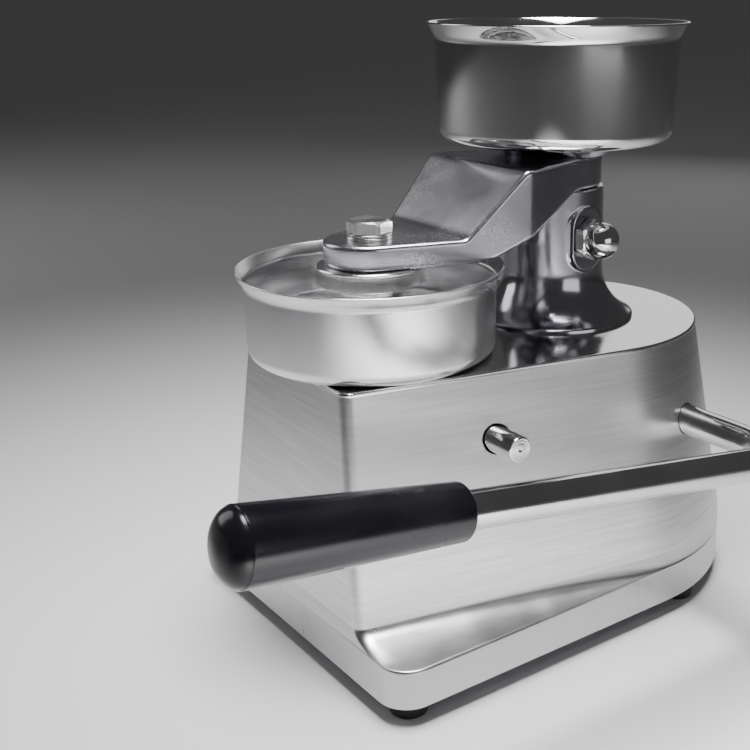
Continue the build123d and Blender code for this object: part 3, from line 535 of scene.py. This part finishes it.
bowl_line = rounded([(SCREW_BORE, BOWL_FLOOR), (66.4, BOWL_FLOOR, 7.5), (68.9, 319.0, 9.0),
                     (73.4, 326.6)], steps=14)
bowl = lathe("paper_bowl", thicken(bowl_line, BOWL_SHEET), upright(0, COLUMN_Y), 192, 60.0)
place(bowl, "lift", "polished_steel", MIRROR, "top_bowl")

SEAT_UNDER, SEAT_TOP = 254.05, 261.95
seat = lathe("bowl_cone", rounded([
    (SCREW_BORE, SEAT_UNDER), (29.3, SEAT_UNDER, 0.3), (30.2, 254.9, 0.6), (38.4, 261.2, 0.5),
    (38.4, SEAT_TOP), (SCREW_BORE, SEAT_TOP),
], closed=True), upright(0, COLUMN_Y), 128)
place(seat, "lift", "cast_alloy", BRIGHT, "bowl_seat")

hub = lathe("press_hub_turned", rounded([
    (BOLT_BORE, PRESS_HUB_FOOT), (24.0, PRESS_HUB_FOOT), (24.0, 181.0, 0.8),
    (17.0, 184.0, 2.0), (17.0, 193.0, 3.0), (28.8, 197.0, 1.2), (28.8, PRESS_HUB_TOP, 1.3),
    (BOLT_BORE, PRESS_HUB_TOP),
], closed=True), upright(0, MOLD_Y), 128)
place(hub, "lift", "polished_steel", HUB, "press_hub")

PRESS_R, PRESS_UNDER = 63.6, 171.5
press_plate = lathe("press_plate_turned", rounded([
    (0, PRESS_UNDER), (PRESS_R, PRESS_UNDER, 1.6), (PRESS_R, PRESS_HUB_FOOT, 1.0),
    (BOLT_BORE, PRESS_HUB_FOOT), (BOLT_BORE, 173.0), (0, 173.0),
], closed=True), upright(0, MOLD_Y), 160)
place(press_plate, "lift", "polished_steel", SATIN, "press_plate")

EJECTOR_UNDER, EJECTOR_TOP = 159.6, 162.6
ejector_plate = lathe("ejector_plate_turned", rounded([
    (2.6, EJECTOR_UNDER), (59.8, EJECTOR_UNDER, 1.0), (62.4, 161.9, 0.5),
    (62.4, EJECTOR_TOP, 0.3), (5.05, EJECTOR_TOP),
    (2.6, 160.1),
], closed=True), upright(0, MOLD_Y), 160)
place(ejector_plate, "ejector", "polished_steel", SATIN, "ejector_plate")

# ---------------------------------------------------------------------------
# column: flared foot, tapered shank, raised side boss melted into it
# ---------------------------------------------------------------------------
shank = [(48.0, PLATE_TOP), (48.0, 159.2), (47.85, 159.6), (47.5, 159.95)]
shank += arc_through((47.2, 160.2), (35.2, 170.0), (29.3, 188.0), 28)
shank += [(28.8, COLUMN_EDGE), (28.0, COLUMN_TOP)]
BOSS_LOW, BOSS_HIGH = 184.0, 231.0        # the boss lies between these heights
BOSS_FACE, BOSS_Z, BOSS_R, BOSS_SPAN, BOSS_EDGE = 30.0, 207.75, 11.5, 7.5, 1.0
BOSS_SLOPE, BOSS_MELT = 2.6, 1.2          # fall of its sides, width of the soft join
BOSS_SWEEP, SWEEP_STEP = 44, 0.9          # degrees either side of it, drawn finer
BOSS_LEVELS, PLAIN_STEPS = 94, 90         # rings up the boss, points round the plain rest


def shank_radius(z):
    for (r0, z0), (r1, z1) in zip(shank, shank[1:]):
        if z0 <= z <= z1 and z1 > z0:
            return mix(r0, r1, (z - z0) / (z1 - z0))
    return shank[-1][0]


def boss_x(y, z):
    """How far out the boss reaches at (y, z)."""
    d = hypot(y, max(abs(z - BOSS_Z) - BOSS_SPAN, 0.0)) - BOSS_R
    if d <= -BOSS_EDGE:
        return BOSS_FACE
    if d <= 0:
        share = (d + BOSS_EDGE) / BOSS_EDGE
        return BOSS_FACE - BOSS_EDGE * (1 - sqrt(max(0.0, 1 - share * share)))
    return BOSS_FACE - BOSS_EDGE - BOSS_SLOPE * d


def melt(a, b, width):
    """Larger of two heights with a soft join."""
    h = max(width - abs(a - b), 0.0) / width
    return max(a, b) + h * h * width * 0.25


levels = [z for _, z in shank if z < BOSS_LOW]
levels += [mix(BOSS_LOW, BOSS_HIGH, k / BOSS_LEVELS) for k in range(BOSS_LEVELS + 1)]
levels += [COLUMN_EDGE, COLUMN_TOP]
angles = [radians(-BOSS_SWEEP + SWEEP_STEP * k) for k in range(98)]
angles += [mix(angles[-1], angles[0] + 2 * pi, k / PLAIN_STEPS) for k in range(1, PLAIN_STEPS)]
rings = []
for index, z in enumerate(levels):
    base = shank_radius(z) if z >= BOSS_LOW else shank[index][0]
    ring = []
    for angle in angles:
        r = base
        if BOSS_LOW < z < BOSS_HIGH and abs(angle) < radians(BOSS_SWEEP):
            reach = base
            for _ in range(4):
                y = reach * sin(angle)
                reach = melt(base, boss_x(y, z) / cos(angle), BOSS_MELT)
            r = reach
        ring.append((r * cos(angle), COLUMN_Y + r * sin(angle), z))
    rings.append(ring)
BORE = 15.0           # column's bore for its bushes
rings.append([(BORE * cos(a), COLUMN_Y + BORE * sin(a), COLUMN_TOP) for a in angles])
rings.append([(BORE * cos(a), COLUMN_Y + BORE * sin(a), PLATE_TOP) for a in angles])
verts, faces = lofted(rings, closed_loop=True)
column = object_from("column_cast", verts, faces, 38.0)
place(column, "frame", "polished_steel", BRIGHT, "column")


# ---------------------------------------------------------------------------
# hexagons, washers, cap nut
# ---------------------------------------------------------------------------
HEX_CORNER = 1.135    # corners turned off at this multiple of half the width over flats
HEX_CONE = radians(28)


def hex_rings(across, z0, z1, crown=0.0, chamfer=0.93, foot=0.25):
    """Rings of a hexagon head with turned-off corners and softly broken edges."""
    half = across / 2
    cone = half * chamfer
    steps = 16
    rings = {"under": [], "low": [], "high": [], "shelf": [], "mid": []}
    for k in range(6 * steps):
        angle = 2 * pi * k / (6 * steps)
        offset = (angle + pi / 6) % (pi / 3) - pi / 6
        r = min(half / cos(offset), half * HEX_CORNER)
        drop = max(0.0, r - cone) * tan(HEX_CONE)
        c, s = cos(angle), sin(angle)
        rings["under"].append(((r - foot) * c, (r - foot) * s, z0))
        rings["low"].append((r * c, r * s, z0 + foot))
        rings["high"].append((r * c, r * s, z1 - drop))
        rings["shelf"].append((cone * c, cone * s, z1))
        rings["mid"].append((cone * 0.55 * c, cone * 0.55 * s, z1 + crown))
    return [rings[name] for name in ("under", "low", "high", "shelf", "mid")]


def moved(rings, matrix):
    return [[tuple(matrix @ Vector(p)) for p in ring] for ring in rings]


HEX_AF = 21.5         # width over flats of the press bolt and of the cap nut
BOLT_TURN = radians(-38.4)
HEAD_UNDER, HEAD_TOP = 223.7, 230.2
bolt_rings = hex_rings(HEX_AF, HEAD_UNDER, HEAD_TOP, 0.3, 0.9)
bolt_place = upright(0, MOLD_Y) @ Matrix.Rotation(BOLT_TURN, 4, "Z")
bolt_verts, bolt_faces = lofted(moved(bolt_rings, bolt_place), cap_end=True, cap_start=True)
BOLT_TIP, BOLT_NECK = 173.3, 223.9
shank_verts, shank_faces = turned([(0, BOLT_TIP), (BOLT_R, BOLT_TIP), (BOLT_R, BOLT_NECK),
                                   (0, BOLT_NECK)],
                                  upright(0, MOLD_Y), 48)
offset = len(bolt_verts)
bolt_faces += [tuple(i + offset for i in face) for face in shank_faces]
bolt = object_from("press_bolt_hex", bolt_verts + shank_verts, bolt_faces, 24.0)
place(bolt, "lift", "zinc_steel", PLATED, "press_bolt")

FLAT_R, FLAT_TOP = 12.2, 221.95
washer = lathe("flat_washer_round", rounded([
    (BOLT_BORE, PAD_TOP), (FLAT_R, PAD_TOP, 0.4), (FLAT_R, FLAT_TOP, 0.5),
    (BOLT_BORE, FLAT_TOP, 0.3),
], closed=True), upright(0, MOLD_Y), 96)
place(washer, "lift", "zinc_steel", PLATED, "flat_washer")

rings = []
COIL_STEPS = 80
COIL_IN, COIL_OUT, COIL_THICK, COIL_BREAK = 6.3, 12.1, 1.45, 0.35
COIL_START, COIL_SWEEP = radians(-88), radians(352)
COIL_UNDER, COIL_RISE = 222.0, 0.2
for k in range(COIL_STEPS + 1):
    share = k / COIL_STEPS
    angle = COIL_START + COIL_SWEEP * share
    lift = COIL_UNDER + COIL_RISE * share
    section = rounded([(COIL_IN, lift), (COIL_OUT, lift, COIL_BREAK),
                       (COIL_OUT, lift + COIL_THICK, COIL_BREAK),
                       (COIL_IN, lift + COIL_THICK)], closed=True, steps=3)
    rings.append([(r * cos(angle), MOLD_Y + r * sin(angle), z) for r, z in section])
verts, faces = lofted(rings, cap_start=True, cap_end=True)
spring = object_from("spring_washer_split", verts, faces, 40.0)
place(spring, "lift", "zinc_steel", PLATED, "spring_washer")

GUIDE_Z = 208.7
NUT_X = 31.0
DOME_R, DOME_AT = 10.4, 10.0
HEX_LENGTH = 7.5
dome = [(5.0, 0.0), (9.4, 0.0), (10.25, HEX_LENGTH), (DOME_R, DOME_AT)]
dome += [(DOME_R * cos(pi / 2 * k / 20), DOME_AT + DOME_R * sin(pi / 2 * k / 20))
         for k in range(1, 21)]
dome += [(0.0, 8.2), (5.0, 8.2)]
nut_verts, nut_faces = turned(dome, along_x(NUT_X, COLUMN_Y, GUIDE_Z), 96)
hex_place = along_x(NUT_X, COLUMN_Y, GUIDE_Z) @ Matrix.Rotation(pi / 6, 4, "Z")
hex_verts, hex_faces = lofted(moved(hex_rings(HEX_AF, 0.0, HEX_LENGTH, 0.0, 0.96), hex_place),
                              cap_start=True, cap_end=True)
offset = len(nut_verts)
nut_faces += [tuple(i + offset for i in face) for face in hex_faces]
cap_nut = object_from("cap_nut_domed", nut_verts + hex_verts, nut_faces, 24.0)
place(cap_nut, "frame", "polished_steel", CHROME, "cap_nut")

nut_washer = lathe("cap_nut_ring", rounded([
    (5.1, 0.0), (9.5, 0.0, 0.2), (9.5, 1.0, 0.3), (5.1, 1.0),
], closed=True), along_x(30.0, COLUMN_Y, GUIDE_Z), 96)
place(nut_washer, "frame", "zinc_steel", CHROME, "cap_nut_washer")

# ---------------------------------------------------------------------------
# arm: one casting that climbs from the pad to the hub
# ---------------------------------------------------------------------------
PAD_R, HUB_R, HUB_Y = 24.5, 29.3, 37.0
top_line = rounded([(-130, PAD_TOP), (-51, PAD_TOP, 6.0), (-17, ARM_TOP, 4.0), (80, ARM_TOP)],
                   steps=10)
low_line = rounded([(-130, PAD_UNDER), (-38, PAD_UNDER, 30.0), (28, ARM_UNDER, 10.0),
                    (80, ARM_UNDER)], steps=10)


def height_on(line, y):
    for (y0, z0), (y1, z1) in zip(line, line[1:]):
        if y0 <= y <= y1 and y1 > y0:
            return mix(z0, z1, (y - y0) / (y1 - y0))
    return line[-1][1]


def dense(points, step=1.5):
    out = [points[0]]
    for (x0, y0), (x1, y1) in zip(points, points[1:]):
        parts = max(1, int(hypot(x1 - x0, y1 - y0) / step))
        out += [(mix(x0, x1, k / parts), mix(y0, y1, k / parts)) for k in range(1, parts + 1)]
    return out


side = rounded([(23.4, -95.3), (37.0, -52.0, 30.0), (45.6, -14.0, 8.0), (HUB_R, HUB_Y)],
               steps=10)
half_plan = [(PAD_R * cos(radians(a)), MOLD_Y + PAD_R * sin(radians(a)))
             for a in range(-90, -18, 3)]
half_plan += side
half_plan += [(HUB_R * cos(radians(a)), HUB_Y + HUB_R * sin(radians(a)))
              for a in range(3, 91, 3)]
half_plan = dense(half_plan)
half_plan[0] = (0.0, MOLD_Y - PAD_R)
half_plan[-1] = (0.0, HUB_Y + HUB_R)


def inset_half(points, amount):
    """Move a half outline inwards along its normals, keeping its ends on the middle."""
    out = []
    for i, (x, y) in enumerate(points):
        ax, ay = points[max(i - 1, 0)]
        bx, by = points[min(i + 1, len(points) - 1)]
        length = hypot(bx - ax, by - ay)
        nx, ny = (by - ay) / length, -(bx - ax) / length
        if i == 0:
            nx, ny = 0.0, -1.0
        if i == len(points) - 1:
            nx, ny = 0.0, 1.0
        out.append((x - nx * amount, y - ny * amount))
    return out


def full_ring(points, height):
    right = [(x, y, height(y)) for x, y in points]
    return right + [(-x, y, z) for x, y, z in reversed(right[1:-1])]


TOP_EDGE, LOW_EDGE = 2.4, 2.6             # rounding of the arm's edges
RUN_IN = 0.6          # flat strip drawn on either side of a rounding
rings = []
for k in range(-1, 6):
    angle = pi / 2 * (1 - max(k, 0) / 5)
    amount = LOW_EDGE * (1 - cos(angle)) if k >= 0 else LOW_EDGE + RUN_IN
    drop = LOW_EDGE * (1 - sin(angle)) if k >= 0 else 0.0
    points = inset_half(half_plan, amount)
    rings.append(full_ring(points, lambda y, d=drop: height_on(low_line, y) + d))
rings.append(full_ring(half_plan, lambda y: height_on(low_line, y) + LOW_EDGE + RUN_IN))
rings.append(full_ring(half_plan, lambda y: height_on(top_line, y) - TOP_EDGE - RUN_IN))
for k in range(0, 8):
    angle = pi / 2 * min(k, 6) / 6
    amount = TOP_EDGE * (1 - cos(angle)) if k < 7 else TOP_EDGE + RUN_IN
    drop = TOP_EDGE * (1 - sin(angle)) if k < 7 else 0.0
    points = inset_half(half_plan, amount)
    rings.append(full_ring(points, lambda y, d=drop: height_on(top_line, y) - d))
verts, faces = lofted(rings)
size = len(rings[0])
count = len(half_plan)
# under and upper face: strips of quads across the middle
for first in (0, (len(rings) - 1) * size):
    for i in range(count - 1):
        right = (first + i, first + i + 1)
        left = tuple(first + (size - k) % size if k else first for k in (i + 1, i))
        faces.append(tuple(dict.fromkeys(right + left)))
arm = object_from("swing_arm_cast", verts, faces, 34.0)
carve(arm, [cylinder_cutter(upright(0, COLUMN_Y), 30.0, 190, ARM_UNDER)], 34.0)
place(arm, "lift", "cast_alloy", ALLOY, "arm")

# ---------------------------------------------------------------------------
# lever bar, grip, stub of the rocker shaft
# ---------------------------------------------------------------------------
corner = Vector((BAR_X, LEVER_Y, LEVER_Z))
reach = (BAR_TIP - corner).normalized()
BEND_R, BEND_STEPS = 30.0, 24
BAR_SIDES = 64
JOIN_X = 60.0                             # the bent bar takes over from the CAD's shaft here
run_x = Vector((1, 0, 0))
centre = corner - run_x * BEND_R + reach * BEND_R
path = [(Vector((JOIN_X, LEVER_Y, LEVER_Z)), run_x)]
for k in range(BEND_STEPS + 1):
    angle = pi / 2 * k / BEND_STEPS
    point = centre - reach * BEND_R * cos(angle) + run_x * BEND_R * sin(angle)
    path.append((point, (run_x * cos(angle) + reach * sin(angle)).normalized()))
path.append((BAR_TIP - reach * 20, reach))
up = run_x.cross(reach).normalized()
rings = []
for point, heading in path:
    across = heading.cross(up).normalized()
    turns = [2 * pi * k / BAR_SIDES for k in range(BAR_SIDES)]
    rings.append([tuple(point + BAR_R * (up * cos(t) + across * sin(t))) for t in turns])
verts, faces = lofted(rings, cap_start=True, cap_end=True)
bar = object_from("lever_bar_bent", verts, faces, 40.0)
place(bar, "lever", "polished_steel", CHROME, "lever_bar")

GRIP_LENGTH, GRIP_BORE = 108.5, 8.55
TIP_COVER = 5.5       # the grip's closed end reaches this far past the bar's tip point
start = BAR_TIP - reach * (GRIP_LENGTH - TIP_COVER)
third = reach.cross(run_x).normalized()
grip_frame = Matrix((
    (run_x.x, third.x, reach.x, start.x),
    (run_x.y, third.y, reach.y, start.y),
    (run_x.z, third.z, reach.z, start.z),
    (0, 0, 0, 1),
))
grip_line = rounded([(GRIP_BORE, 0.0), (12.55, 0.0, 2.2), (15.7, 100.8, 0.3), (15.25, 101.3, 0.2),
                     (14.9, 102.2)], steps=6)
grip_line += arc_through((14.6, 102.9), (12.2, 105.4), (7.0, 107.6), 10)
grip_line += [(3.5, 108.3), (0.0, GRIP_LENGTH), (0.0, 95.0), (GRIP_BORE, 85.0)]
grip = lathe("grip_black", grip_line, grip_frame, 96, 30.0)
place(grip, "lever", "black_grip", GRIP, "grip")

SHAFT_R, SHAFT_START, SHAFT_END = 7.0, -51.5, 92.5
end = SHAFT_END - SHAFT_START
shaft_line = [(0.0, 0.0), (6.6, 0.0), (SHAFT_R, 0.4), (SHAFT_R, 1.3), (6.3, 1.35), (6.3, 2.45),
              (SHAFT_R, 2.5), (SHAFT_R, end - 0.8), (6.75, end - 0.25), (6.2, end)]
shaft_line += [(5.4, end), (5.2, end - 0.08), (5.0, end), (3.9, end), (3.7, end - 0.06),
               (3.5, end), (1.3, end), (0.9, end - 0.5), (0.0, end - 1.2)]
pin = lathe("rocker_shaft_turned", shaft_line, along_x(SHAFT_START, ROCKER_Y, ROCKER_Z), 96, 28.0)
place(pin, "rocker", "machined_steel", CHROME, "rocker_shaft")

# ---------------------------------------------------------------------------
# rubber feet
# ---------------------------------------------------------------------------
feet_verts, feet_faces = [], []
foot_line = rounded([(5.4, 0.0), (9.5, 0.0, 1.0), (11.5, 10.0, 0.3), (2.6, 10.0), (2.6, 4.0),
                     (5.4, 4.0)], closed=True)
FOOT_X, FOOT_Y = (-91.0, 91.0), (-130.0, 62.0)
for x in FOOT_X:
    for y in FOOT_Y:
        verts, faces = turned(foot_line, upright(x, y), 64)
        offset = len(feet_verts)
        feet_verts += verts
        feet_faces += [tuple(i + offset for i in face) for face in faces]
feet = object_from("rubber_feet_turned", feet_verts, feet_faces, 40.0)
place(feet, "frame", "rubber", RUBBER, "rubber_feet")

# ---------------------------------------------------------------------------
# carried-over CAD nodes get a finish of their own
# ---------------------------------------------------------------------------
FINISH = {
    MACHINED: ["pinion", "pinion_pin", "lever_shaft", "lever_ring", "ejector_rack",
               "ejector_rocker", "rocker_pin", "roller", "roller_pin", "rocker_rings",
               "rack_guides"],
    SHAFT: ["lift_shaft", "ejector_rod", "ejector_foot", "guide_screw"],
    ZINC: ["side_plate_left", "side_plate_right", "frame_studs", "frame_nuts", "guide_bolts",
           "column_bolts", "mold_studs", "mold_nuts", "foot_nuts", "foot_screws",
           "bottom_cover"],
    BRONZE: ["lever_bushes", "rocker_bushes", "column_bush_lower", "column_bush_upper",
             "ejector_bush"],
    CHROME: ["bowl_screw", "bowl_washer", "ejector_screw"],
}
for material, names in FINISH.items():
    for name in names:
        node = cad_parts[name]
        if not node.material_slots:
            node.data.materials.append(material)
        for material_slot in node.material_slots:
            material_slot.material = material

# ---------------------------------------------------------------------------
# floor, light, camera
# ---------------------------------------------------------------------------
FLOOR_HALF = 60.0
mesh = bpy.data.meshes.new("floor")
mesh.from_pydata([(-FLOOR_HALF, -FLOOR_HALF, 0), (FLOOR_HALF, -FLOOR_HALF, 0),
                  (FLOOR_HALF, FLOOR_HALF, 0), (-FLOOR_HALF, FLOOR_HALF, 0)],
                 [], [(0, 1, 2, 3)])
floor = bpy.data.objects.new("floor", mesh)
bpy.context.scene.collection.objects.link(floor)
paper = Look("floor_paper", (0.6, 0.6, 0.61), 0.0, 0.75, Specular_IOR_Level=0.2)
paper.tint(paper.noise(paper.stretch(1, 1, 1), 3.0, 2.0), (0.58, 0.58, 0.59), (0.62, 0.62, 0.63))
mesh.materials.append(paper.material)


def softbox(name, location, target, width, height, power, spread=180):
    """Soft rectangular studio light aimed at a point: metres, watts, degrees."""
    data = bpy.data.lights.new(name, "AREA")
    data.shape = "RECTANGLE"
    data.size = width
    data.size_y = height
    data.energy = power
    data.spread = radians(spread)
    obj = bpy.data.objects.new(name, data)
    obj.location = location
    aim = Vector(target) - Vector(location)
    obj.rotation_euler = aim.to_track_quat("-Z", "Y").to_euler()
    bpy.context.scene.collection.objects.link(obj)


softbox("top_pool", (0.0, 0.02, 1.3), (0.0, -0.03, 0.0), 0.5, 0.5, 5.0, 56)
softbox("pool_right", (0.66, -0.22, 0.7), (0.5, -0.22, 0.0), 0.7, 0.25, 7.5, 46)
softbox("panel_right", (2.1, 0.12, 0.47), (0.0, 0.0, 0.12), 1.4, 0.85, 6.0)
softbox("fill_left", (-1.5, -0.9, 0.95), (0.0, 0.05, 0.15), 0.8, 1.3, 8)
softbox("back_strip", (-1.0, 1.35, 0.8), (0.0, 0.0, 0.25), 0.5, 0.9, 1.6)

world = bpy.data.worlds.new("studio")
world.use_nodes = True
background = world.node_tree.nodes["Background"]
background.inputs["Color"].default_value = (0.5, 0.5, 0.51, 1)
background.inputs["Strength"].default_value = 0.14
bpy.context.scene.world = world

# camera fitted to the photo: angles in radians, place in metres
YAW, PITCH = 0.91102585, 0.31172261
heading = Vector((-sin(YAW) * cos(PITCH), cos(YAW) * cos(PITCH), -sin(PITCH)))
camera_data = bpy.data.cameras.new("camera")
camera_data.sensor_width = 36.0
camera_data.lens = 55.94
camera_data.shift_x = -0.1528
camera_data.shift_y = -0.0245
camera_data.clip_end = 200.0
camera = bpy.data.objects.new("camera", camera_data)
camera.location = (0.47771, -0.35070, 0.34850)
camera.rotation_euler = heading.to_track_quat("-Z", "Y").to_euler()
bpy.context.scene.collection.objects.link(camera)
bpy.context.scene.camera = camera
